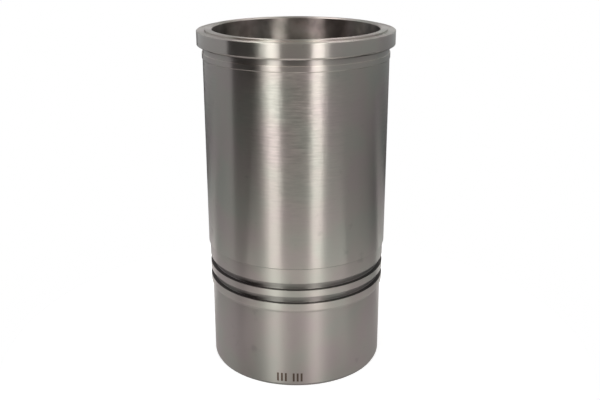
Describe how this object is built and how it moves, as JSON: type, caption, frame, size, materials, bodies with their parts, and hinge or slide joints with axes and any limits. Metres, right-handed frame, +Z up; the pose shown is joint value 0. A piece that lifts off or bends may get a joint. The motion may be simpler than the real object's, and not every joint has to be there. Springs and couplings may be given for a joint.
{
  "type": "cylinder liner",
  "caption": "Flanged wet cylinder liner for an engine block, with a fire lip at the top, a ground guide land, a plain bore and seal ring grooves low on the barrel.",
  "frame": {"origin": "centre of the bottom rim, on the bore axis", "axes": "+Z up along the bore axis, from the skirt to the flange and fire lip; X and Y are alike, because the part is round"},
  "size_m": [0.142, 0.142, 0.2534],
  "materials": {
    "machined_iron": "fine turned and ground, satin sheen"
  },
  "bodies": {
    "root": {"cylinder_liner": "machined_iron"}
  },
  "joints": []
}
